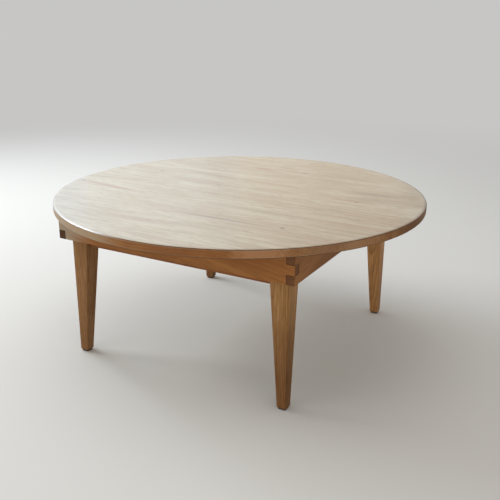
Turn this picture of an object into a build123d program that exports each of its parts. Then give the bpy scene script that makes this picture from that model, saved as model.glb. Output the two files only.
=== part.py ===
"""Round chabudai: a low table whose tapered legs fold up in pairs inside its frame.

Millimetres. The origin is on the floor under the middle of the table, +Z up.
The front of the frame faces -Y, and the boards of the top run along X.

A finger-jointed frame of four aprons hangs under a round top, edge-glued from
boards and held to the frame by wooden buttons. Two legs and the rail between
them make a pair that folds inwards. Each leg turns on a steel axle that is let
into the side apron and carried by a bearer block on the leg's other side. The
legs are longer than half the frame is wide, so the back pair folds first, a
little past level and close under the top, and the front pair below it. A leaf
spring over the root of each leg presses on one of two flats, and so holds the
leg either down or folded.
"""

import os
from math import hypot

from build123d import *

# ---- the top ----
TOP_DIAMETER = 850.0
TOP_THICKNESS = 18.0
TABLE_HEIGHT = 356.0
TOP_EDGE_FLAT = 2.0  # planed at 45 degrees round the rim, above and below
TOP_EDGE_EASE = 0.6  # planed off both arrises of that flat
BOARD_WIDTH = 98.5
MIDDLE_SEAM_Y = -22.0  # the glue line nearest the middle of the table
NARROWEST_OUTER_BOARD = 60.0

# ---- the frame ----
FRAME_LENGTH = 574.0  # outside, along X
FRAME_WIDTH = 604.0  # outside, along Y
APRON_THICKNESS = 18.0
APRON_HEIGHT = 60.0
FINGER_COUNT = 3
FRAME_EDGE_CHAMFER = 0.8

# ---- the legs ----
LEG_WIDTH = 42.0
FOOT_WIDTH = 21.0
LEG_CHAMFER = 1.2
FOOT_CHAMFER = 2.0
PAD_THICKNESS = 3.0
FOLD_RECESS = 1.5  # how far a folded leg stays inside the frame
STOP_GAP = 0.3  # between a standing leg and the apron that stops it
SIDE_GAP = 1.5  # each side of a leg, for its washers
ROOT_FLAT = 3.0  # half of the flat that the leaf spring presses on

# ---- the rails between the legs of a pair ----
RAIL_THICKNESS = 24.0
RAIL_HEIGHT = 26.0
RAIL_DROP = 13.0  # from the axle down to the rail's upper face
RAIL_EASE = 1.0
RAIL_HOUSING = 2.0  # how far its shoulders are let into the legs
RAIL_TENON_LENGTH = 14.0  # beyond the shoulders
RAIL_TENON_THICKNESS = 9.0
RAIL_TENON_HEIGHT = 18.0

# ---- the axles ----
AXLE_DIAMETER = 10.0
AXLE_SEAT_DEPTH = 10.0  # blind hole in the apron
AXLE_HEAD_DIAMETER = 17.0
AXLE_HEAD_THICKNESS = 3.0
AXLE_HEAD_CHAMFER = 0.8
RUNNING_CLEARANCE = 0.1  # radial, leg on axle
FIXED_CLEARANCE = 0.05  # radial, what is driven into its hole
WASHER_DIAMETER = 24.0
WASHER_THICKNESS = 1.2
WASHER_CLEARANCE = 0.2

# ---- the bearer blocks ----
BLOCK_THICKNESS = 24.0
BLOCK_REACH = 30.0  # from the axle, along the fold
BLOCK_NOSE = 11.5  # radius round the axle, within the sweep of the rail
BLOCK_ARM = 20.0  # thickness of the arm that reaches over the folded rail
BLOCK_CHAMFER = 4.0
HOUSING_DEPTH = 4.0  # how far the block's end is let into the apron
BLOCK_SCREWS = (-15.0, 20.0)  # from the axle, along the fold
BLOCK_SEAT = 12.0  # from the top down to the heads of these screws

# ---- the leaf springs ----
SPRING_THICKNESS = 1.2
SPRING_WIDTH = 20.0
SPRING_GAP = 0.3
SPRING_PRESS = 8.0  # half length of the flat over the root
SPRING_TIP_LENGTH = 8.0
SPRING_TIP_RISE = 3.0
SPRING_RAMP_LENGTH = 36.0
SPRING_FOOT_LENGTH = 36.0
SPRING_BEND = 6.0
SPRING_SCREW_SETBACK = 10.0  # from the end of the foot to the first screw
SPRING_SCREW_SPACING = 15.0

# ---- the wooden buttons ----
BUTTON_LENGTH = 34.0  # from the apron inwards
BUTTON_WIDTH = 28.0
BUTTON_THICKNESS = 9.0
BUTTON_CHAMFER = 2.0
BUTTON_GAP = 0.3  # left under the top, so that the screw pulls it down
TONGUE_LENGTH = 9.0
TONGUE_THICKNESS = 5.0
TONGUE_DROP = 4.0  # from the top's underside to the tongue
TONGUE_PLAY = 1.0  # sideways and at the end, where the top swells and shrinks
BUTTON_SPACING = 220.0
BUTTON_BORE_DEPTH = 3.0

# ---- the screws: radii of shank and head, head height ----
SCREW_BITE = 12.0  # length in the top
SCREW_HOLE_EXTRA = 0.5
BLOCK_SCREW = (2.5, 4.5, 3.0)
BUTTON_SCREW = (2.0, 4.0, 2.5)
SPRING_SCREW = (1.75, 3.5, 2.2)

# ---- what follows from them ----
TOP_RADIUS = TOP_DIAMETER / 2
UNDERSIDE = TABLE_HEIGHT - TOP_THICKNESS
FRAME_BOTTOM = UNDERSIDE - APRON_HEIGHT
FINGER_HEIGHT = APRON_HEIGHT / FINGER_COUNT
INNER_X = FRAME_LENGTH / 2 - APRON_THICKNESS
INNER_Y = FRAME_WIDTH / 2 - APRON_THICKNESS
HALF_LEG = LEG_WIDTH / 2
PIVOT_HEIGHT = FRAME_BOTTOM + FOLD_RECESS + HALF_LEG
AXLE_TO_TOP = UNDERSIDE - PIVOT_HEIGHT
TAPER_START = PIVOT_HEIGHT - FRAME_BOTTOM
AXLE_RADIUS = AXLE_DIAMETER / 2
BLOCK_FACE = HALF_LEG + SIDE_GAP  # from the middle of the leg, along the axle
UP = Vector(0, 0, 1)

os.makedirs("parts", exist_ok=True)


class Corner:
    """A corner where a leg turns. The corner beside it is its mirror image."""

    def __init__(self, row, hand, other_hand, side):
        self.row = row
        self.names = (f"{row}_{hand}", f"{row}_{other_hand}")
        self.fold = Vector(0, -side, 0)
        self.axle = self.fold.cross(UP)  # along the axle, from the apron to the block
        self.pivot = Vector(
            side * (INNER_X - SIDE_GAP - HALF_LEG),
            side * (INNER_Y - STOP_GAP - HALF_LEG),
            PIVOT_HEIGHT,
        )

    def side(self, along_axle=0.0):
        """Plane across the axle: x along the fold, y up, z towards the block."""
        return Plane(
            origin=self.pivot + self.axle * along_axle, x_dir=self.fold, z_dir=self.axle
        )

    def point(self, along_fold, along_axle, height):
        """A point of this corner, its height measured from the floor."""
        flat = self.pivot + self.fold * along_fold + self.axle * along_axle
        return Vector(flat.X, flat.Y, height)

    def export_twins(self, solid, kind):
        """Write this corner's piece and its mirror image."""
        for twin, name in zip((solid, mirror(solid, about=Plane.YZ)), self.names):
            twin.label = f"{kind}_{name}"
            export_step(twin, f"parts/{twin.label}.step")


CORNERS = [Corner("front", "left", "right", -1), Corner("back", "right", "left", 1)]

# Each apron's own plane lies on its inner face, at the underside of the top:
# x along the apron, y up, z into the frame.
APRON_PLANES = {
    "front": Plane(origin=(0, -INNER_Y, UNDERSIDE), x_dir=(-1, 0, 0), z_dir=(0, 1, 0)),
    "back": Plane(origin=(0, INNER_Y, UNDERSIDE), x_dir=(1, 0, 0), z_dir=(0, -1, 0)),
    "left": Plane(origin=(-INNER_X, 0, UNDERSIDE), x_dir=(0, 1, 0), z_dir=(1, 0, 0)),
    "right": Plane(origin=(INNER_X, 0, UNDERSIDE), x_dir=(0, -1, 0), z_dir=(-1, 0, 0)),
}
BUTTON_OFFSETS = (-BUTTON_SPACING / 2, BUTTON_SPACING / 2)


# ---- screws: pan heads down, shanks up ----
def screw_places_under_top():
    """Every screw that bites into the top: its place on the underside and its shank."""
    places = [(point, BLOCK_SCREW[0]) for point in block_screw_points()]
    places += [(point, BUTTON_SCREW[0]) for point in button_screw_points()]
    places += [(point, SPRING_SCREW[0]) for point in spring_screw_points()]
    return places


def both_sides(points):
    """The points and their mirror images."""
    return [*points, *[Vector(-point.X, point.Y, point.Z) for point in points]]


def block_screw_points():
    middle = BLOCK_FACE + BLOCK_THICKNESS / 2
    return both_sides([c.point(u, middle, UNDERSIDE) for c in CORNERS for u in BLOCK_SCREWS])


def spring_screw_points():
    end = SPRING_PRESS + SPRING_RAMP_LENGTH + SPRING_FOOT_LENGTH
    first = end - SPRING_SCREW_SETBACK
    along = (first, first - SPRING_SCREW_SPACING)
    return both_sides([c.point(u, 0, UNDERSIDE) for c in CORNERS for u in along])


def button_screw_points():
    points = []
    for plane in APRON_PLANES.values():
        for offset in BUTTON_OFFSETS:
            points.append(plane.origin + plane.x_dir * offset + plane.z_dir * BUTTON_LENGTH / 2)
    return points


def make_screws(label, points, sizes, seat_drop):
    """Pan-head screws at points of the underside, heads seated seat_drop below it."""
    shank, head, head_height = sizes
    with BuildPart() as screw:
        with BuildSketch(Plane.XZ):
            with BuildLine():
                Polyline(
                    (0, -seat_drop - head_height),
                    (head * 0.7, -seat_drop - head_height),
                    (head, -seat_drop),
                    (shank, -seat_drop),
                    (shank, SCREW_BITE),
                    (0, SCREW_BITE),
                    close=True,
                )
            make_face()
        revolve(axis=Axis.Z)
    with BuildPart() as screws:
        with Locations(*points):
            add(screw.part)
    screws.part.label = label
    export_step(screws.part, f"parts/{label}.step")


# ---- the top, board by board ----
def seam_positions():
    """The glue lines' Y, where both outer boards stay wide enough to be one piece."""
    reach = TOP_RADIUS - NARROWEST_OUTER_BOARD
    steps = int(TOP_DIAMETER / BOARD_WIDTH) + 1
    seams = [MIDDLE_SEAM_Y + n * BOARD_WIDTH for n in range(-steps, steps + 1)]
    return [y for y in seams if abs(y) < reach]


def make_whole_top():
    """The round top in one piece, with its eased rim and the screws' holes."""
    with BuildPart() as top:
        with BuildSketch(Plane.XZ) as profile:
            with Locations((TOP_RADIUS / 2, UNDERSIDE + TOP_THICKNESS / 2)):
                Rectangle(TOP_RADIUS, TOP_THICKNESS)
            for flat in (TOP_EDGE_FLAT, TOP_EDGE_EASE):
                chamfer([v for v in profile.vertices() if v.X > TOP_RADIUS / 2], flat)
        revolve(axis=Axis.Z)
        for point, shank in screw_places_under_top():
            with Locations(point):
                Cylinder(
                    shank + FIXED_CLEARANCE,
                    SCREW_BITE + SCREW_HOLE_EXTRA,
                    align=(Align.CENTER, Align.CENTER, Align.MIN),
                    mode=Mode.SUBTRACT,
                )
    return top.part


def make_top_boards():
    whole_top = make_whole_top()
    edges = [-TOP_RADIUS, *seam_positions(), TOP_RADIUS]
    for number, (low, high) in enumerate(zip(edges, edges[1:]), start=1):
        with BuildPart() as board:
            add(whole_top)
            with BuildSketch(Plane.XY.offset(UNDERSIDE)):
                with Locations((0, (low + high) / 2)):
                    Rectangle(TOP_DIAMETER, high - low)
            extrude(amount=TOP_THICKNESS, mode=Mode.INTERSECT)
        board.part.label = f"top_board_{number}"
        export_step(board.part, f"parts/top_board_{number}.step")


# ---- the frame ----
def make_frame_outline():
    """The whole frame as one block, its outside arrises eased, to trim each apron."""
    with BuildPart() as outline:
        with BuildSketch(Plane.XY.offset(FRAME_BOTTOM)):
            Rectangle(FRAME_LENGTH, FRAME_WIDTH)
        extrude(amount=APRON_HEIGHT)
        chamfer(outline.edges().filter_by(Axis.Z), FRAME_EDGE_CHAMFER)
        chamfer(outline.faces().sort_by(Axis.Z)[0].edges(), FRAME_EDGE_CHAMFER)
    return outline.part


def make_frame_cuts():
    """The blind holes for the axles and the housings for the blocks, on both sides."""
    cuts = []
    for corner in CORNERS:
        with BuildPart() as cut:
            with BuildSketch(corner.side(-BLOCK_FACE)):
                Circle(AXLE_RADIUS + FIXED_CLEARANCE)
            extrude(amount=-AXLE_SEAT_DEPTH)
            extrude(bearer_profile(corner), amount=BLOCK_THICKNESS)
        cuts += [cut.part, mirror(cut.part, about=Plane.YZ)]
    return cuts


def make_apron(name, outline, cuts):
    """A board on edge. Front and back carry the odd fingers, the sides the even ones."""
    plane = APRON_PLANES[name]
    takes_even = name in ("left", "right")
    overall = FRAME_WIDTH if takes_even else FRAME_LENGTH
    with BuildPart() as apron:
        with BuildSketch(plane):
            with Locations((0, -APRON_HEIGHT / 2)):
                Rectangle(overall, APRON_HEIGHT)
        extrude(amount=-APRON_THICKNESS)

        # sockets for the fingers of the aprons at both ends
        with BuildSketch(plane):
            for finger in range(FINGER_COUNT):
                is_socket = finger % 2 == (1 if takes_even else 0)
                if is_socket:
                    height = -(finger + 0.5) * FINGER_HEIGHT
                    with Locations(
                        (-(overall - APRON_THICKNESS) / 2, height),
                        ((overall - APRON_THICKNESS) / 2, height),
                    ):
                        Rectangle(APRON_THICKNESS, FINGER_HEIGHT)
        extrude(amount=-APRON_THICKNESS, mode=Mode.SUBTRACT)
        add(outline, mode=Mode.INTERSECT)

        # mortises for the tongues of the buttons
        with BuildSketch(plane):
            with Locations(*[(x, -TONGUE_DROP - TONGUE_THICKNESS / 2) for x in BUTTON_OFFSETS]):
                Rectangle(BUTTON_WIDTH + 2 * TONGUE_PLAY, TONGUE_THICKNESS)
        extrude(amount=-(TONGUE_LENGTH + TONGUE_PLAY), mode=Mode.SUBTRACT)

        for cut in cuts:
            add(cut, mode=Mode.SUBTRACT)
    apron.part.label = f"apron_{name}"
    export_step(apron.part, f"parts/apron_{name}.step")


# ---- the bearer blocks ----
def bearer_profile(corner):
    """The block's side view, whose end is also the housing cut for it in the apron."""
    back = -(HALF_LEG + STOP_GAP + HOUSING_DEPTH)
    arm = AXLE_TO_TOP - BLOCK_ARM
    with BuildSketch(corner.side(BLOCK_FACE)) as profile:
        with BuildLine():
            Polyline(
                (back, AXLE_TO_TOP),
                (BLOCK_REACH, AXLE_TO_TOP),
                (BLOCK_REACH, arm + BLOCK_CHAMFER),
                (BLOCK_REACH - BLOCK_CHAMFER, arm),
                (BLOCK_NOSE, arm),
                (BLOCK_NOSE, 0),
            )
            RadiusArc((BLOCK_NOSE, 0), (0, -BLOCK_NOSE), BLOCK_NOSE)
            Polyline((0, -BLOCK_NOSE), (back, -BLOCK_NOSE), (back, AXLE_TO_TOP))
        make_face()
    return profile.sketch


def make_bearer_block(corner):
    shank, head, _ = BLOCK_SCREW
    middle = BLOCK_FACE + BLOCK_THICKNESS / 2
    with BuildPart() as block:
        extrude(bearer_profile(corner), amount=BLOCK_THICKNESS)
        with BuildSketch(corner.side(BLOCK_FACE)):
            Circle(AXLE_RADIUS + FIXED_CLEARANCE)
        extrude(amount=BLOCK_THICKNESS, mode=Mode.SUBTRACT)
        for along_fold in BLOCK_SCREWS:
            is_in_arm = along_fold > 0
            bottom = UNDERSIDE - BLOCK_ARM if is_in_arm else PIVOT_HEIGHT - BLOCK_NOSE
            with Locations(Plane(origin=corner.point(along_fold, middle, bottom), z_dir=-UP)):
                CounterBoreHole(
                    radius=shank + FIXED_CLEARANCE,
                    counter_bore_radius=head + SCREW_HOLE_EXTRA,
                    counter_bore_depth=UNDERSIDE - BLOCK_SEAT - bottom,
                )
    corner.export_twins(block.part, "bearer_block")


# ---- the rails between the legs ----
def make_leg_rail(corner):
    """From leg to leg of one pair, with a stub tenon in each."""
    shoulder = abs(corner.pivot.X) - HALF_LEG + RAIL_HOUSING
    with BuildPart() as rail:
        with Locations((0, corner.pivot.Y, PIVOT_HEIGHT - RAIL_DROP - RAIL_HEIGHT / 2)):
            Box(2 * shoulder, RAIL_THICKNESS, RAIL_HEIGHT)
            chamfer(rail.edges().filter_by(Axis.X), RAIL_EASE)
            Box(2 * (shoulder + RAIL_TENON_LENGTH), RAIL_TENON_THICKNESS, RAIL_TENON_HEIGHT)
    rail.part.label = f"leg_rail_{corner.row}"
    export_step(rail.part, f"parts/leg_rail_{corner.row}.step")
    return rail.part


# ---- the legs ----
def leg_section(corner, width, height, inset=0.0):
    """A square across the leg, its corners cut, inset from its two outer faces."""
    middle = (width - LEG_WIDTH) / 2
    origin = corner.point(middle, middle, height)
    side = width - 2 * inset
    with BuildSketch(Plane(origin=origin, x_dir=corner.fold, z_dir=UP)) as section:
        Rectangle(side, side)
        chamfer(section.vertices(), LEG_CHAMFER)
    return section.sketch


def make_leg(corner, rail):
    """Straight on its two outer faces, tapered on the two inner ones, mortised for its rail."""
    foot_top = PAD_THICKNESS + FOOT_CHAMFER
    root = leg_section(corner, LEG_WIDTH, FRAME_BOTTOM)
    ankle = leg_section(corner, FOOT_WIDTH, foot_top)
    sole = leg_section(corner, FOOT_WIDTH, PAD_THICKNESS, FOOT_CHAMFER)
    with BuildPart() as leg:
        # the root, seen along the axle
        with BuildSketch(corner.side()):
            with BuildLine():
                Polyline(
                    (HALF_LEG, ROOT_FLAT),
                    (HALF_LEG, -TAPER_START),
                    (-HALF_LEG, -TAPER_START),
                    (-HALF_LEG, 0),
                )
                # round the axle on the outer side, so that it turns clear of its stop
                RadiusArc((-HALF_LEG, 0), (0, HALF_LEG), HALF_LEG)
                # the two flats, and between them the corner that lifts the spring
                Line((0, HALF_LEG), (ROOT_FLAT, HALF_LEG))
                RadiusArc((ROOT_FLAT, HALF_LEG), (HALF_LEG, ROOT_FLAT), HALF_LEG - ROOT_FLAT)
            make_face()
        extrude(amount=HALF_LEG, both=True)
        chamfer(leg.edges().filter_by(lambda edge: is_root_arris(edge, corner)), LEG_CHAMFER)

        # the taper, and the cut arrises of the foot
        loft([ankle.face(), root.face()], ruled=True)
        loft([sole.face(), ankle.face()], ruled=True)

        with BuildSketch(corner.side()):
            Circle(AXLE_RADIUS + RUNNING_CLEARANCE)
        extrude(amount=LEG_WIDTH, both=True, mode=Mode.SUBTRACT)
        add(rail, mode=Mode.SUBTRACT)
    corner.export_twins(leg.part, "leg")


def is_root_arris(edge, corner):
    """Whether an edge runs along one of the root's two side faces, above the taper."""
    from_pivot = edge.center() - corner.pivot
    is_on_side = abs(from_pivot.dot(corner.axle)) > HALF_LEG - LEG_CHAMFER
    return is_on_side and from_pivot.Z > LEG_CHAMFER - TAPER_START


def make_foot_pad(corner):
    """Felt under the foot, as wide as what its chamfer leaves."""
    middle = FOOT_WIDTH / 2 - HALF_LEG
    width = FOOT_WIDTH - 2 * FOOT_CHAMFER
    with BuildPart() as pad:
        with BuildSketch(Plane(origin=corner.point(middle, middle, 0), x_dir=corner.fold)):
            RectangleRounded(width, width, FOOT_CHAMFER)
        extrude(amount=PAD_THICKNESS)
    corner.export_twins(pad.part, "foot_pad")


# ---- axles and washers ----
def make_axle(corner):
    length = AXLE_SEAT_DEPTH + 2 * BLOCK_FACE + BLOCK_THICKNESS
    head_face = BLOCK_FACE + BLOCK_THICKNESS
    with BuildPart() as axle:
        with BuildSketch(corner.side(head_face)):
            Circle(AXLE_RADIUS)
        extrude(amount=-length)
        with BuildSketch(corner.side(head_face)):
            Circle(AXLE_HEAD_DIAMETER / 2)
        extrude(amount=AXLE_HEAD_THICKNESS)
        crown = corner.side(head_face + AXLE_HEAD_THICKNESS)
        chamfer(axle.edges().filter_by(lambda edge: lies_on(edge, crown)), AXLE_HEAD_CHAMFER)
    corner.export_twins(axle.part, "leg_axle")


def lies_on(edge, plane):
    """Whether an edge's middle lies on a plane."""
    return abs((edge.center() - plane.origin).dot(plane.z_dir)) < 1e-3


def make_washers(corner):
    """One each side of the leg, in the gap that keeps it off apron and block."""
    middle = HALF_LEG + SIDE_GAP / 2
    with BuildPart() as washers:
        for along_axle in (-middle, middle):
            with BuildSketch(corner.side(along_axle)):
                Circle(WASHER_DIAMETER / 2)
                Circle(AXLE_RADIUS + WASHER_CLEARANCE, mode=Mode.SUBTRACT)
            extrude(amount=WASHER_THICKNESS / 2, both=True)
    corner.export_twins(washers.part, "leg_washers")


# ---- the leaf springs ----
def make_leaf_spring(corner):
    """A bent strip: its foot is screwed to the top, its flat lies over the leg's root."""
    press_height = HALF_LEG + SPRING_GAP
    foot_height = AXLE_TO_TOP - SPRING_THICKNESS
    ramp_end = SPRING_PRESS + SPRING_RAMP_LENGTH
    foot_end = ramp_end + SPRING_FOOT_LENGTH
    with BuildPart() as spring:
        with BuildSketch(corner.side()):
            with BuildLine():
                FilletPolyline(
                    (-SPRING_PRESS - SPRING_TIP_LENGTH, press_height + SPRING_TIP_RISE),
                    (-SPRING_PRESS, press_height),
                    (SPRING_PRESS, press_height),
                    (ramp_end, foot_height),
                    (foot_end, foot_height),
                    radius=SPRING_BEND,
                )
                offset(amount=SPRING_THICKNESS, side=Side.LEFT)
            make_face()
        extrude(amount=SPRING_WIDTH / 2, both=True)
        for point in spring_screw_points():
            with Locations(point):
                Cylinder(
                    SPRING_SCREW[0] + FIXED_CLEARANCE,
                    4 * SPRING_THICKNESS,
                    mode=Mode.SUBTRACT,
                )
    corner.export_twins(spring.part, "leaf_spring")


# ---- the wooden buttons ----
def make_button(name, number, along_apron):
    """A tongue in the apron's mortise, and a body screwed up to the top."""
    plane = APRON_PLANES[name]
    middle = plane.origin + plane.x_dir * along_apron
    shank, head, _ = BUTTON_SCREW
    low = -BUTTON_GAP - BUTTON_THICKNESS
    tongue_low = -TONGUE_DROP - TONGUE_THICKNESS
    with BuildPart() as button:
        with BuildSketch(Plane(origin=middle, x_dir=plane.z_dir, z_dir=plane.z_dir.cross(UP))):
            with BuildLine():
                Polyline(
                    (-TONGUE_LENGTH, -TONGUE_DROP),
                    (0, -TONGUE_DROP),
                    (0, -BUTTON_GAP),
                    (BUTTON_LENGTH, -BUTTON_GAP),
                    (BUTTON_LENGTH, low + BUTTON_CHAMFER),
                    (BUTTON_LENGTH - BUTTON_CHAMFER, low),
                    (BUTTON_CHAMFER, low),
                    (0, tongue_low),
                    (-TONGUE_LENGTH, tongue_low),
                    close=True,
                )
            make_face()
        extrude(amount=BUTTON_WIDTH / 2, both=True)
        seat = middle + plane.z_dir * BUTTON_LENGTH / 2 + UP * low
        with Locations(Plane(origin=seat, z_dir=-UP)):
            CounterBoreHole(
                radius=shank + FIXED_CLEARANCE,
                counter_bore_radius=head + SCREW_HOLE_EXTRA,
                counter_bore_depth=BUTTON_BORE_DEPTH,
            )
    button.part.label = f"top_button_{name}_{number}"
    export_step(button.part, f"parts/top_button_{name}_{number}.step")


make_top_boards()

frame_outline = make_frame_outline()
frame_cuts = make_frame_cuts()
for apron_name in APRON_PLANES:
    make_apron(apron_name, frame_outline, frame_cuts)
    for button_number, button_offset in enumerate(BUTTON_OFFSETS, start=1):
        make_button(apron_name, button_number, button_offset)

for table_corner in CORNERS:
    make_leg(table_corner, make_leg_rail(table_corner))
    make_foot_pad(table_corner)
    make_axle(table_corner)
    make_washers(table_corner)
    make_bearer_block(table_corner)
    make_leaf_spring(table_corner)

button_seat = BUTTON_GAP + BUTTON_THICKNESS - BUTTON_BORE_DEPTH
make_screws("block_screws", block_screw_points(), BLOCK_SCREW, BLOCK_SEAT)
make_screws("button_screws", button_screw_points(), BUTTON_SCREW, button_seat)
make_screws("spring_screws", spring_screw_points(), SPRING_SCREW, SPRING_THICKNESS)

corner_reach = hypot(FRAME_LENGTH, FRAME_WIDTH) / 2
print(f"frame corners lie {TOP_RADIUS - corner_reach:.1f} mm inside the rim of the top")
print(f"axles are {PIVOT_HEIGHT:.1f} mm above the floor")
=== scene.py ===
import math

import bpy
import numpy as np
from mathutils import Matrix, Vector


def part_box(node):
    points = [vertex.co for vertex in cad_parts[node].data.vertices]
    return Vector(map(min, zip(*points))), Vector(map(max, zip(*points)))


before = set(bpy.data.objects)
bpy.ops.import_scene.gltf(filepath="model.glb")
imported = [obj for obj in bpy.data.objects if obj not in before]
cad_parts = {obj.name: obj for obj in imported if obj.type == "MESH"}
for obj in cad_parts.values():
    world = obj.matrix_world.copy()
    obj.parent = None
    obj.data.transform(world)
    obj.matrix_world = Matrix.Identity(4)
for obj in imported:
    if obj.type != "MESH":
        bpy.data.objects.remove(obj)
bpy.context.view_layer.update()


def plug(tree, socket, value):
    # a link where the value is a wire, otherwise the socket's own value
    if isinstance(value, Wire):
        tree.links.new(value.socket, socket)
    elif socket.type == "RGBA":
        socket.default_value = (*value, 1.0)
    else:
        socket.default_value = value


class Wire:
    # one output of a node; a sum written on it places Math nodes
    def __init__(self, tree, socket):
        self.tree, self.socket = tree, socket

    def out(self, name):
        return Wire(self.tree, self.socket.node.outputs[name])

    def math(self, operation, *values):
        node = self.tree.nodes.new("ShaderNodeMath")
        node.operation = operation
        for socket, value in zip(node.inputs, values):
            plug(self.tree, socket, value)
        return Wire(self.tree, node.outputs[0])

    def __add__(self, other):
        return self.math("ADD", self, other)

    def __sub__(self, other):
        return self.math("SUBTRACT", self, other)

    def __rsub__(self, other):
        return self.math("SUBTRACT", other, self)

    def __mul__(self, other):
        return self.math("MULTIPLY", self, other)

    def __truediv__(self, other):
        return self.math("DIVIDE", self, other)

    def __pow__(self, other):
        return self.math("POWER", self, other)

    def __abs__(self):
        return self.math("ABSOLUTE", self)

    __radd__ = __add__
    __rmul__ = __mul__

    def most(self, other):
        return self.math("MAXIMUM", self, other)

    def least(self, other):
        return self.math("MINIMUM", self, other)

    def fraction(self):
        return self.math("FRACT", self)

    def floor(self):
        return self.math("FLOOR", self)

    def root(self):
        return self.math("SQRT", self)

    def angle(self, other):
        # in degrees, seen from the origin, of a point at (self, other)
        return self.math("ARCTAN2", other, self) * (180.0 / math.pi)


def weigh(wires, weights):
    return sum(wire * weight for wire, weight in zip(wires, weights))


class Paint:
    # the nodes of one material or world
    def __init__(self, owner):
        owner.use_nodes = True
        self.owner, self.tree = owner, owner.node_tree
        self.tree.nodes.clear()

    def add(self, kind, settings=None, sockets=None):
        # places a node: its settings first, then the values or links of its sockets
        node = self.tree.nodes.new(kind)
        for key, value in (settings or {}).items():
            setattr(node, key, value)
        for key, value in (sockets or {}).items():
            named = [s for s in node.inputs if s.name == key and s.enabled]
            plug(self.tree, node.inputs[key] if isinstance(key, int) else named[0], value)
        shown = [s for s in node.outputs if s.enabled]
        return Wire(self.tree, shown[0]) if shown else None

    def coordinates(self, kind):
        return self.add("ShaderNodeTexCoord").out(kind)

    def split(self, vector):
        parts = self.add("ShaderNodeSeparateXYZ", {}, {0: vector})
        return [parts.out(axis) for axis in "XYZ"]

    def join(self, x, y, z):
        return self.add("ShaderNodeCombineXYZ", {}, {0: x, 1: y, 2: z})

    def noise(self, place, detail=2.0, roughness=0.5):
        sockets = {"Vector": self.join(*place), "Scale": 1.0, "Detail": detail, "Roughness": roughness}
        return self.add("ShaderNodeTexNoise", {}, sockets)

    def ease(self, value, low, high, start=0.0, end=1.0):
        # a smooth step from start to end, as value goes from low to high
        sockets = {"Value": value, "From Min": low, "From Max": high, "To Min": start, "To Max": end}
        return self.add("ShaderNodeMapRange", {"interpolation_type": "SMOOTHSTEP"}, sockets)

    def mix(self, factor, first, second, blend="MIX"):
        settings = {"data_type": "RGBA", "blend_type": blend}
        return self.add("ShaderNodeMix", settings, {"Factor": factor, "A": first, "B": second})

    def tint(self, factor, colour, by):
        return self.mix(factor, colour, by, "MULTIPLY")

    def bump(self, height, strength, distance, normal=None):
        sockets = {"Height": height, "Strength": strength, "Distance": distance}
        if normal is not None:
            sockets["Normal"] = normal
        return self.add("ShaderNodeBump", {}, sockets)

    def vector(self, operation, *vectors):
        return self.add("ShaderNodeVectorMath", {"operation": operation}, dict(enumerate(vectors)))

    def seenDirectly(self):
        # 1 for rays from the camera and for those that a shiny or clear surface sends on
        path = self.add("ShaderNodeLightPath")
        camera, glossy, clear = (path.out(f"Is {ray} Ray") for ray in ("Camera", "Glossy", "Transmission"))
        return camera.most(glossy).most(clear)

    def finish(self, sockets):
        surface = self.add("ShaderNodeBsdfPrincipled", {}, sockets)
        self.add("ShaderNodeOutputMaterial", {}, {"Surface": surface})
        return self.owner


def newPaint(name):
    return Paint(bpy.data.materials.new(name))


axisOrder = {"X": (0, 1, 2), "Y": (1, 0, 2), "Z": (2, 0, 1)}  # along, across, through
# The noises of wood: how many to the metre along the grain and across it, then detail and
# roughness. Across it, streaks, flecks and fibres are so many times the look's own number.
timberNoise = {
    "slow": (2.3, 9.0, 2.0, 0.5),
    "quick": (10.0, 70.0, 2.0, 0.5),
    "bands": (1.3, 24.0, 2.0, 0.5),
    "mottles": (7.0, 34.0, 3.0, 0.6),
    "streaks": (5.0, 1.0, 3.0, 0.6),
    "flecks": (42.0, 1.6, 2.0, 0.5),
    "fibres": (26.0, 1.0, 3.0, 0.6),
    "pores": (55.0, 1700.0, 0.0, 0.5),
}
# Smooth steps: between which values, then what they begin and end at where that isn't 0 and 1.
timberStep = {
    "flow": (0.0, 3.0, 0.0050, 0.0),  # how far the rings give way round a knot
    "lateRise": (0.30, 0.93),  # the dark side of a ring grows slowly
    "lateFall": (0.93, 1.0, 1.0, 0.0),  # and ends sharply
    "warmth": (0.40, 0.60),
    "blush": (0.46, 0.70, 0.0, 0.55),
    "specks": (0.52, 0.70),
    "threads": (0.50, 0.78, 0.0, 0.22),
    "pores": (0.68, 0.80),
    "knot": (0.20, 1.0),  # this and the next two fall from their own strength to 0
    "stain": (0.15, 1.1),
    "rimStain": (0.30, 1.1),
    "cutEnd": (0.60, 0.97),  # this and all the rest read one part of the normal
    "upright": (0.20, 0.60, 1.0, 0.0),
    "arrisOut": (0.30, 0.62),
    "arrisIn": (0.80, 0.97, 1.0, 0.0),
    "lookingDown": (-0.65, -0.30, 1.0, 0.0),
    "coated": (0.50, 0.68),
    "flat": (0.90, 0.97),
}
timber = {
    "start": (3.0, 9.0),  # where in the noises a board may begin
    "heartAside": (-0.03, 0.03),  # where the heart of the log may lie, aside of the board's middle
    "heartBelow": (0.03, 0.07),  # and below it
    "wander": (0.030, 0.0024),  # how far the slow and the quick noise push the rings
    "lateLeast": 0.30,  # the share of its darkness that every ring has
    "warmth": (0.35, 0.50, 0.15),  # weights of streaks, mottles and flecks
    "poreDepth": 0.35,
    "ragged": (0.9, 0.9),  # how mottles and streaks fray the outline of a stain
    "rimRagged": 0.8,  # and streaks that of a stain of the rim
    "height": (0.45, 0.40, -0.20, -0.50),  # weights of fibres, streaks, late wood and pores
    "relief": 0.0004,
    "rough": (0.14, 0.10, 0.15),  # weights of streaks, pores and cut ends
    "coatRoughness": 0.27,
    "coatWear": 0.7,  # the share of the coat that is gone from a worn arris
}


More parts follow.
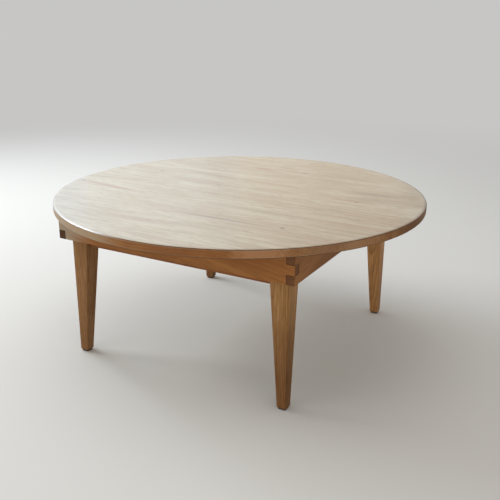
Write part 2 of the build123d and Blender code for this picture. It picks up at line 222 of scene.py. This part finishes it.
class Wood(Paint):
    # Wood sawn from a log whose heart lies below the board. The rings are circles round the
    # heart, radius = sqrt(side^2 + depth^2), pushed about by a slow noise, so that a face
    # along the log shows arches and an end shows arcs. Streaks, fibres and pores are noises
    # drawn out along the grain.
    def __init__(self, name, look, grain, seed, centre, slant):
        super().__init__(bpy.data.materials.new(name))
        self.look = look
        self.place = self.split(self.coordinates("Object"))
        self.facing = self.split(self.coordinates("Normal"))
        order = axisOrder[grain]
        self.layBoard(order, seed, centre, slant)
        self.drawFigures()
        self.markFaces(abs(self.facing[order[0]]))

    def layBoard(self, order, seed, centre, slant):
        # where a point lies on the board, in the noises and beside the heart
        rng = np.random.default_rng(seed)
        self.along, self.across, through = (self.place[axis] for axis in order)
        _, self.middle, level = (centre[axis] for axis in order)
        leanAcross, leanThrough = (self.along * share for share in slant)
        self.run = self.along + rng.uniform(*timber["start"])
        self.wide = self.across + rng.uniform(*timber["start"]) + leanAcross
        self.deep = through + rng.uniform(*timber["start"]) + leanThrough
        self.side = self.across - (self.middle + rng.uniform(*timber["heartAside"])) + leanAcross
        self.depth = through - (level - rng.uniform(*timber["heartBelow"])) + leanThrough

    def drawFigures(self):
        self.mottles = self.figure("mottles")
        self.streaks = self.figure("streaks", self.look["streak"])
        self.flecks = self.figure("flecks", self.look["streak"])
        self.fibres = self.figure("fibres", self.look["fibre"])
        self.pores = self.step("pores", self.figure("pores"))

    def markFaces(self, lengthways):
        level = abs(self.facing[2])
        self.ends = self.step("cutEnd", lengthways)
        self.edge = self.step("upright", level)
        self.rim = self.edge * (1.0 - self.ends)
        self.arris = self.step("arrisOut", level) * self.step("arrisIn", level)
        self.lowArris = self.step("lookingDown", self.facing[2]) * self.arris
        # where the painted sheen and highlight of the window light lie; the rest of the arris gets painted
        # shade and loses some coat
        self.paintedSheenZone = 0.0
        if "fade" in self.look:
            angle, full, end = self.look["fade"]
            self.paintedSheenZone = self.ease(self.turnFrom(angle), full, end, 1.0, 0.0)
        self.wornShadedArris = self.arris * (1.0 - self.paintedSheenZone)

    def figure(self, name, count=1.0):
        # a noise drawn out along the grain
        along, across, detail, roughness = timberNoise[name]
        across = across * count
        return self.noise((self.run * along, self.wide * across, self.deep * across), detail, roughness)

    def step(self, name, value, *ends):
        return self.ease(value, *timberStep[name], *ends)

    def turnFrom(self, angle):
        # degrees round the table, away from that angle
        x, y, _ = self.place
        return abs(x.angle(y) - angle)

    def oval(self, x, y, length, width, slope=0.0):
        # 0 in the middle of an oval with these half sizes, 1 on its outline
        away = self.along - x
        return ((away / length) ** 2 + ((self.across - y - away * slope) / width) ** 2).root()

    def lateWood(self, knots):
        # how dark the wood is in its growth rings, up to 1
        slow, quick = timber["wander"]
        radius = (self.side**2 + self.depth**2).root()
        radius = radius + (self.figure("slow") - 0.5) * slow + (self.figure("quick") - 0.5) * quick
        for x, y, length, width, _ in knots:
            radius = radius + self.step("flow", self.oval(x, y, length, width))
        rings = radius / self.look["ringWidth"]
        grown = rings.fraction()
        chance = self.add("ShaderNodeTexWhiteNoise", {"noise_dimensions": "1D"}, {"W": rings.floor()})
        share = timber["lateLeast"] + (1.0 - timber["lateLeast"]) * chance
        return self.step("lateRise", grown) * self.step("lateFall", grown) * share

    def cutColour(self, late):
        # pale and warm wood with reddish bands, darker at its rings, flecks, fibres and pores
        look = self.look
        warmth = self.step("warmth", weigh((self.streaks, self.mottles, self.flecks), timber["warmth"]))
        colour = self.mix(warmth, look["pale"], look["warm"])
        colour = self.mix(self.step("blush", self.figure("bands")), colour, look["blush"])
        rings = late * (look["ringDepth"] + self.rim * look["rimRing"])
        specks = self.step("specks", self.flecks) * look["fleck"]
        threads = self.step("threads", self.fibres)
        return self.mix(rings + specks + threads + self.pores * timber["poreDepth"], colour, look["late"])

    def addStains(self, colour, stains):
        for x, y, length, width, slope, shade, strength in stains:
            frayed = weigh((self.mottles - 0.5, self.streaks - 0.5), timber["ragged"])
            spread = self.step("stain", self.oval(x, y, length, width, slope) + frayed, strength, 0.0)
            colour = self.mix(spread * (1.0 - self.ends), colour, shade)
        return colour

    def paintSheen(self, colour):
        # a painted sheen on the rim and a painted highlight on the arris, where the window light falls
        colour = self.mix(self.rim * self.paintedSheenZone, colour, self.look["faded"])
        return self.mix(self.arris * self.paintedSheenZone, colour, self.look["paintedHighlight"])

    def addRimStains(self, colour, stains):
        for angle, width, shade, strength in stains:
            frayed = self.turnFrom(angle) / width + (self.streaks - 0.5) * timber["rimRagged"]
            colour = self.mix(self.step("rimStain", frayed, strength, 0.0) * self.edge, colour, shade)
        return colour

    def addKnots(self, colour, knots):
        for x, y, length, width, strength in knots:
            spot = self.step("knot", self.oval(x, y, length, width), strength, 0.0)
            colour = self.mix(spot, colour, self.look["knot"])
        return colour

    def addTints(self, colour):
        # the tones of rim and cut ends, and the painted shade on the arrises and towards the foot, where the
        # look has them
        masks = {
            "rimTint": self.rim,
            "arrisShade": self.wornShadedArris,
            "lowArrisShade": self.lowArris,
            "endTint": self.ends,
        }
        # painted shade: darker towards the foot
        if "footTint" in self.look:
            masks["footTint"] = self.ease(self.place[2], *self.look["footShadeRise"])
        for key, mask in masks.items():
            if key in self.look:
                colour = self.tint(mask, colour, self.look[key])
        return colour

    def addGlue(self, colour, joint):
        # a dark line of glue all round each finger's end
        aside = joint["board"] / 2 - abs(self.across - self.middle)
        above = ((self.place[2] - joint["bottom"]) / joint["finger"]).fraction()
        seam = aside.least((0.5 - abs(above - 0.5)) * joint["finger"])
        return self.tint(self.ends * self.ease(seam, *joint["line"]), colour, joint["tint"])

    def roundedNormal(self):
        # the normal leans outwards on the outer band of the top, and up on the lower arris
        x, y, _ = self.place
        start, end, slope = self.look["rounding"]
        away = (x**2 + y**2).root()
        lean = self.ease(away, start, end, 0.0, slope) * self.step("flat", self.facing[2]) / away
        outward = self.join(x * lean, y * lean, self.lowArris * self.look["tuck"])
        return self.vector("NORMALIZE", self.vector("ADD", self.coordinates("Normal"), outward))

    def coatWeight(self):
        upper = self.look["coat"] * self.step("coated", self.facing[2])
        return upper * (1.0 - self.ends) * (1.0 - self.wornShadedArris * timber["coatWear"])


def woodMaterial(name, look, grain, seed, centre, slant=(0.0, 0.0), knots=(), stains=(), rimStains=()):
    wood = Wood(name, look, grain, seed, centre, slant)
    late = wood.lateWood(knots)
    colour = wood.addStains(wood.cutColour(late), stains)
    # painted sheen and highlight of the window light, where the look has them
    if "fade" in look:
        colour = wood.paintSheen(colour)
    colour = wood.addKnots(wood.addRimStains(colour, rimStains), knots)
    colour = wood.addTints(colour)
    if "joints" in look:
        colour = wood.addGlue(colour, look["joints"])
    height = weigh((wood.fibres, wood.streaks, late, wood.pores), timber["height"])
    normal = wood.roundedNormal() if "rounding" in look else None
    sockets = {
        "Base Color": colour,
        "Roughness": look["roughness"] + weigh((wood.streaks - 0.5, wood.pores, wood.ends), timber["rough"]),
        "Normal": wood.bump(height, look["bump"], timber["relief"], normal),
        "Specular IOR Level": look["level"],
        "Coat Roughness": timber["coatRoughness"],
    }
    if "coat" in look:
        sockets["Coat Weight"] = wood.coatWeight()
    return wood.finish(sockets)


def middle(node):
    low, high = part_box(node)
    return [(a + b) / 2 for a, b in zip(low, high)]


def dress(node, material):
    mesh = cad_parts[node].data
    mesh.materials.clear()
    mesh.materials.append(material)


seeds = {"top": 11, "frame": 31, "legs": 51, "rails": 61, "blocks": 71}  # the first of each group

topWood = {
    "pale": (0.472, 0.400, 0.288),
    "warm": (0.368, 0.279, 0.172),
    "late": (0.224, 0.149, 0.087),  # the dark side of a growth ring
    "blush": (0.360, 0.239, 0.152),  # reddish bands
    "endTint": (0.58, 0.36, 0.22),  # multiplies the colour where the fibres are cut across
    "rimTint": (0.715, 0.397, 0.193),  # multiplies the colour of the rim
    # painted shade: darkens the arrises outside the painted highlight
    "arrisShade": (0.32, 0.16, 0.08),
    "lowArrisShade": (0.70, 0.52, 0.38),  # painted shadow: multiplies the arris that looks down
    "faded": (0.440, 0.550, 0.660),  # the rim's colour under a painted sheen of the window light
    "paintedHighlight": (0.430, 0.460, 0.510),  # the arris there, a painted highlight of the window light
    "fade": (-123.0, 20.0, 33.0),  # the middle of the painted sheen, its half width and its end, in degrees
    "knot": (0.100, 0.050, 0.024),
    "ringWidth": 0.0056,
    "ringDepth": 0.21,
    "rimRing": 0.34,  # how much darker the rings are on the rim
    "fleck": 0.30,
    "streak": 130.0,  # streaks and fibres to the metre, across the grain
    "fibre": 1100.0,
    "roughness": 0.42,
    "level": 0.15,
    "coat": 1.0,
    "bump": 0.30,
    "rounding": (0.4170, 0.4230, 0.70),  # where the rubbed edge begins and ends, and its slope
    "tuck": 0.70,  # how far the lower arris is turned up, away from the light of the floor
}
topLay = {
    "slant": 0.03,  # of the grain across the first board
    "less": 0.012,  # and how much less across each of the next
    "again": 4,  # after so many boards it starts again
    "through": 0.01,  # the slant through a board
    "overlap": 0.02,  # how far off a board its stains may lie
}
# knots of the top: x, y, half length, half width, strength
topKnots = [
    (0.216, -0.214, 0.0075, 0.0058, 1.00),
    (0.047, 0.254, 0.0085, 0.0054, 0.95),
    (-0.077, 0.028, 0.0075, 0.0050, 0.85),
    (0.270, 0.044, 0.0095, 0.0054, 0.80),
    (-0.288, 0.088, 0.0090, 0.0058, 0.85),
    (-0.392, -0.099, 0.0090, 0.0058, 0.95),
]
# soft stains: x, y, half length, half width, slope, colour, strength
reddish, dark, light = (0.310, 0.150, 0.085), (0.210, 0.130, 0.080), (0.560, 0.480, 0.370)
topStains = [
    (-0.300, -0.112, 0.125, 0.010, -0.13, reddish, 0.85),
    (0.070, -0.220, 0.170, 0.007, 0.01, dark, 0.80),
    (-0.070, 0.246, 0.045, 0.014, -0.20, reddish, 0.75),
    (-0.150, 0.305, 0.060, 0.014, -0.05, reddish, 0.55),
    (0.255, 0.050, 0.070, 0.012, 0.0, reddish, 0.65),
    (0.285, 0.128, 0.085, 0.022, 0.0, dark, 0.60),
    (0.298, 0.078, 0.075, 0.024, 0.0, dark, 0.40),
    (0.400, 0.155, 0.032, 0.046, 0.0, light, 0.45),
    (0.405, 0.050, 0.032, 0.046, 0.0, light, 0.45),
    (-0.170, 0.152, 0.150, 0.013, 0.0, light, 0.60),
    (0.120, -0.130, 0.160, 0.012, 0.0, dark, 0.40),
    (-0.060, -0.300, 0.160, 0.010, 0.02, reddish, 0.45),
]
# stains of the rim: angle from the right end, half width in degrees, colour, strength
rimStains = [
    (-77.0, 9.0, (0.290, 0.200, 0.135), 0.75),
    (-55.5, 8.0, (0.550, 0.520, 0.540), 0.80),
    (-40.0, 5.0, (0.370, 0.285, 0.200), 0.55),
    (-27.0, 10.0, (0.590, 0.490, 0.360), 0.65),
    (-3.0, 11.0, (0.240, 0.170, 0.090), 0.90),
]


def dressTop():
    boards = sorted(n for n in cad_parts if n.startswith("top_board"))
    for number, node in enumerate(boards):
        low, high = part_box(node)
        overlap = topLay["overlap"]
        knots = [k for k in topKnots if low[1] <= k[1] < high[1]]
        stains = [s for s in topStains if low[1] < s[1] + overlap and s[1] - overlap < high[1]]
        slant = (topLay["slant"] - topLay["less"] * (number % topLay["again"]), topLay["through"])
        name, seed = f"topWood{number + 1}", seeds["top"] + number
        dress(node, woodMaterial(name, topWood, "X", seed, middle(node), slant, knots, stains, rimStains))
    print("top dressed:", len(boards), "boards")


frameWood = {
    "pale": (0.330, 0.144, 0.0445),
    "warm": (0.255, 0.105, 0.0305),
    "late": (0.150, 0.056, 0.0165),
    "blush": (0.260, 0.091, 0.0260),
    "endTint": (0.52, 0.56, 0.82),
    "ringWidth": 0.0046,
    "ringDepth": 0.45,
    "rimRing": 0.0,
    "fleck": 0.12,
    "streak": 170.0,
    "fibre": 1300.0,
    "roughness": 0.48,
    "level": 0.10,
    "bump": 0.35,
}
joints = {
    "finger": 0.020,  # its height
    "board": 0.018,  # its thickness
    "bottom": 0.278,  # the height of the lowest edge
    "line": (0.00044, 0.00176, 1.0, 0.0),  # a smooth step away from the finger's edge
    "tint": (0.42, 0.30, 0.26),
}
paintedSheenEnd = (-0.300, -0.302, 0.112, 0.10, 0.0, (0.330, 0.260, 0.182), 0.95)  # as the top's stains: a painted reflection of the bright floor on the front apron's left end
# each apron: its grain, the grain's slant across and through the board, the tone of its ends, its stains and
# painted reflection
aprons = {
    "front": ("X", (0.0, 0.15), 1.1, [paintedSheenEnd]),
    "back": ("X", (0.0, -0.06), 1.0, []),
    "left": ("Y", (0.0, 0.08), 0.55, []),
    "right": ("Y", (0.0, -0.10), 1.0, []),
}


def dressFrame():
    for number, (side, (grain, slant, ends, stains)) in enumerate(aprons.items()):
        look = {**frameWood, "joints": joints, "endTint": tuple(ends * c for c in frameWood["endTint"])}
        node, name, seed = f"apron_{side}", f"frameWood{side.title()}", seeds["frame"] + number
        dress(node, woodMaterial(name, look, grain, seed, middle(node), slant, stains=stains))
    print("frame dressed:", len(aprons), "aprons")


legWood = {
    **frameWood,
    "pale": (0.355, 0.187, 0.0735),
    "warm": (0.245, 0.116, 0.0390),
    "late": (0.135, 0.057, 0.0195),
    "blush": (0.250, 0.105, 0.0370),
    "endTint": (0.50, 0.50, 0.60),
    "footShadeRise": (0.06, 0.255, 1.0, 0.0),  # a smooth step up the leg, away from the painted shade at the foot
    "ringWidth": 0.0038,
    "fleck": 0.30,
    "streak": 300.0,
    "fibre": 1500.0,
}
legSlant = (0.015, 0.01)
# each leg: how much lighter or darker its wood is painted for the light it gets, and how much of that is
# left at the foot under painted shade
legs = {
    "front_right": ((1.15, 1.25, 1.34), (0.51, 0.43, 0.38)),
    "front_left": ((0.90, 0.92, 1.00), (0.80, 0.77, 0.74)),
    "back_left": ((1.00, 1.00, 1.00), (0.70, 0.67, 0.64)),
    "back_right": ((1.62, 1.70, 1.88), (0.72, 0.69, 0.66)),
}


def dressLegs():
    for number, (corner, (litTone, foot)) in enumerate(legs.items()):
        # painted light and shade: each leg's wood lighter or darker, and darker towards the foot
        look = {**legWood, "footTint": foot}
        for shade in ("pale", "warm", "late", "blush"):
            look[shade] = tuple(t * c for t, c in zip(litTone, legWood[shade]))
        node, name, seed = f"leg_{corner}", f"legWood{number + 1}", seeds["legs"] + number
        dress(node, woodMaterial(name, look, "Z", seed, middle(node), legSlant))
    print("legs dressed:", len(legs))


railWood = {
    **frameWood,
    "pale": (0.250, 0.098, 0.030),
    "warm": (0.200, 0.076, 0.022),
    "late": (0.120, 0.042, 0.012),
}
railSlant = (0.02, 0.0)


def dressRails():
    for number, row in enumerate(("front", "back")):
        node, name, seed = f"leg_rail_{row}", f"railWood{number + 1}", seeds["rails"] + number
        dress(node, woodMaterial(name, railWood, "X", seed, middle(node), railSlant))
    print("rails dressed")


blockWood = {
    **legWood,
    "pale": (0.400, 0.235, 0.105),
    "warm": (0.340, 0.185, 0.078),
    "late": (0.230, 0.115, 0.046),
    "roughness": 0.62,
}


def dressBlocks():
    for number, node in enumerate(sorted(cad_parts)):
        seed = seeds["blocks"] + number
        if node.startswith("bearer_block"):
            dress(node, woodMaterial(f"blockWood{number}", blockWood, "Y", seed, middle(node)))
        if node.startswith("top_button"):
            grain = "Y" if "front" in node or "back" in node else "X"
            dress(node, woodMaterial(f"buttonWood{number}", blockWood, grain, seed, middle(node)))
    print("blocks and buttons dressed")


metals = {
    "axleSteel": {"colour": (0.56, 0.56, 0.55), "roughness": 0.34, "pieces": ("leg_axle", "leg_washers")},
    "springSteel": {"colour": (0.20, 0.21, 0.24), "roughness": 0.38, "pieces": ("leaf_spring",)},
    "screwSteel": {
        "colour": (0.62, 0.55, 0.36),
        "roughness": 0.36,
        "pieces": ("block_screws", "button_screws", "spring_screws"),
    },
}
metalFinish = {
    "smears": (90.0, 90.0, 900.0),  # to the metre along x, y and z
    "smearDepth": 0.25,
    "clouds": (60.0, 60.0, 60.0),
    "cloudStep": (0.35, 0.75, 0.0, 0.7),
    "dull": 0.72,  # the share of the colour that is left in the thick of a cloud
}


def dressMetal():
    for name, look in metals.items():
        paint = newPaint(name)
        place = paint.split(paint.coordinates("Object"))
        smear = paint.noise([part * count for part, count in zip(place, metalFinish["smears"])], 3.0, 0.6)
        cloud = paint.noise([part * count for part, count in zip(place, metalFinish["clouds"])])
        darker = tuple(metalFinish["dull"] * c for c in look["colour"])
        colour = paint.mix(paint.ease(cloud, *metalFinish["cloudStep"]), look["colour"], darker)
        rough = look["roughness"] + (smear - 0.5) * metalFinish["smearDepth"]
        material = paint.finish({"Base Color": colour, "Roughness": rough, "Metallic": 1.0})
        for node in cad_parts:
            if node.startswith(look["pieces"]):
                dress(node, material)
    print("metal dressed")


felt = {
    "colour": (0.045, 0.038, 0.032),
    "fuzz": (0.11, 0.10, 0.09),
    "hairs": 2600.0,  # to the metre
    "hairStep": (0.45, 0.80),
    "bump": 0.8,
    "relief": 0.0006,
    "roughness": 0.95,
}


def dressFelt():
    paint = newPaint("footFelt")
    place = paint.split(paint.coordinates("Object"))
    hairs = paint.noise([part * felt["hairs"] for part in place], 4.0, 0.7)
    colour = paint.mix(paint.ease(hairs, *felt["hairStep"]), felt["colour"], felt["fuzz"])
    normal = paint.bump(hairs, felt["bump"], felt["relief"])
    material = paint.finish({"Base Color": colour, "Roughness": felt["roughness"], "Normal": normal})
    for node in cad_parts:
        if node.startswith("foot_pad"):
            dress(node, material)
    print("felt dressed")


world = {"strength": 0.92, "colour": (0.57, 0.565, 0.56)}
floor = {
    "size": 30.0,
    "colour": (0.64, 0.63, 0.61),
    "fade": (1.0, 4.0),  # how far out it begins to turn into the world's colour, and has turned
}


def makeFloor():
    half = floor["size"] / 2
    corners = [(-half, -half, 0.0), (half, -half, 0.0), (half, half, 0.0), (-half, half, 0.0)]
    mesh = bpy.data.meshes.new("studioFloor")
    mesh.from_pydata(corners, [], [(0, 1, 2, 3)])
    piece = bpy.data.objects.new("studioFloor", mesh)
    bpy.context.scene.collection.objects.link(piece)
    paint = newPaint("studioFloor")
    x, y, _ = paint.split(paint.coordinates("Object"))
    far = paint.ease((x**2 + y**2).root(), *floor["fade"])
    matte = paint.add("ShaderNodeBsdfDiffuse", {}, {"Color": floor["colour"]})
    plain = paint.add("ShaderNodeEmission", {}, {"Color": world["colour"], "Strength": 1.0})
    both = paint.add("ShaderNodeMixShader", {}, {0: far * paint.seenDirectly(), 1: matte, 2: plain})
    paint.add("ShaderNodeOutputMaterial", {}, {"Surface": both})
    mesh.materials.append(paint.owner)
    print("floor made")


def makeWorld():
    scene = bpy.context.scene
    scene.world = bpy.data.worlds.new("studio")
    paint = Paint(scene.world)
    strength = world["strength"] + paint.seenDirectly() * (1.0 - world["strength"])
    sky = paint.add("ShaderNodeBackground", {}, {"Color": world["colour"], "Strength": strength})
    paint.add("ShaderNodeOutputWorld", {}, {"Surface": sky})
    print("world made")


lamps = {
    # name: place, width, height, power, colour
    "window": ((-2.89, -0.11, 1.85), 2.0, 1.0, 78.0, (0.92, 0.97, 1.0)),
    "wallLeft": ((-3.0, 1.9, 1.65), 1.25, 1.4, 7.6, (0.64, 0.83, 1.0)),
    "sky": ((-2.64, 0.80, 2.56), 1.6, 0.9, 11.0, (0.85, 0.94, 1.0)),
    "wallNear": ((-2.28, 2.63, 1.65), 0.9, 1.4, 2.1, (0.88, 0.97, 0.97)),
    "wallMiddle": ((-2.2, 2.7, 1.65), 1.25, 1.4, 2.9, (0.88, 0.97, 0.97)),
    "wallInner": ((-1.56, 3.12, 1.65), 0.6, 1.4, 0.62, (0.93, 0.97, 0.92)),
    "wallRight": ((-1.2, 3.3, 1.20), 1.25, 0.7, 1.25, (1.0, 0.80, 0.46)),
    "front": ((-1.2, -2.8, 0.60), 1.8, 1.0, 18.5, (1.0, 0.97, 0.91)),
    "right": ((2.3, -1.7, 0.75), 1.5, 1.0, 8.3, (1.0, 0.74, 0.26)),
    "ceiling": ((0.0, 0.0, 2.6), 2.4, 2.4, 14.0, (1.0, 0.99, 0.97)),
}
lampAim = (0.0, 0.0, 0.25)


def makeLamps():
    for name, (place, width, height, power, colour) in lamps.items():
        data = bpy.data.lights.new(name, "AREA")
        data.shape, data.size, data.size_y = "RECTANGLE", width, height
        data.energy, data.color = power, colour
        lamp = bpy.data.objects.new(name, data)
        lamp.location, lamp.visible_camera = place, False
        lamp.rotation_euler = (Vector(lampAim) - Vector(place)).to_track_quat("-Z", "Y").to_euler()
        bpy.context.scene.collection.objects.link(lamp)
    print("lamps made:", len(lamps))


# angles in degrees, lens and sensor in millimetres
camera = {
    "place": (0.7825, -1.3693, 0.7496),
    "turn": 28.9,
    "down": 18.86,
    "roll": 0.47,
    "lens": 49.73,
    "sensor": 36.0,
}


def makeCamera():
    data = bpy.data.cameras.new("camera")
    data.lens, data.sensor_width, data.sensor_fit = camera["lens"], camera["sensor"], "HORIZONTAL"
    piece = bpy.data.objects.new("camera", data)
    piece.matrix_world = (
        Matrix.Translation(camera["place"])
        @ Matrix.Rotation(math.radians(camera["turn"]), 4, "Z")
        @ Matrix.Rotation(math.radians(90.0 - camera["down"]), 4, "X")
        @ Matrix.Rotation(math.radians(camera["roll"]), 4, "Z")
    )
    bpy.context.scene.collection.objects.link(piece)
    bpy.context.scene.camera = piece
    print("camera made")


dressTop()
dressFrame()
dressLegs()
dressRails()
dressBlocks()
dressMetal()
dressFelt()
makeFloor()
makeWorld()
makeLamps()
makeCamera()
bpy.context.scene.view_settings.view_transform = "Standard"
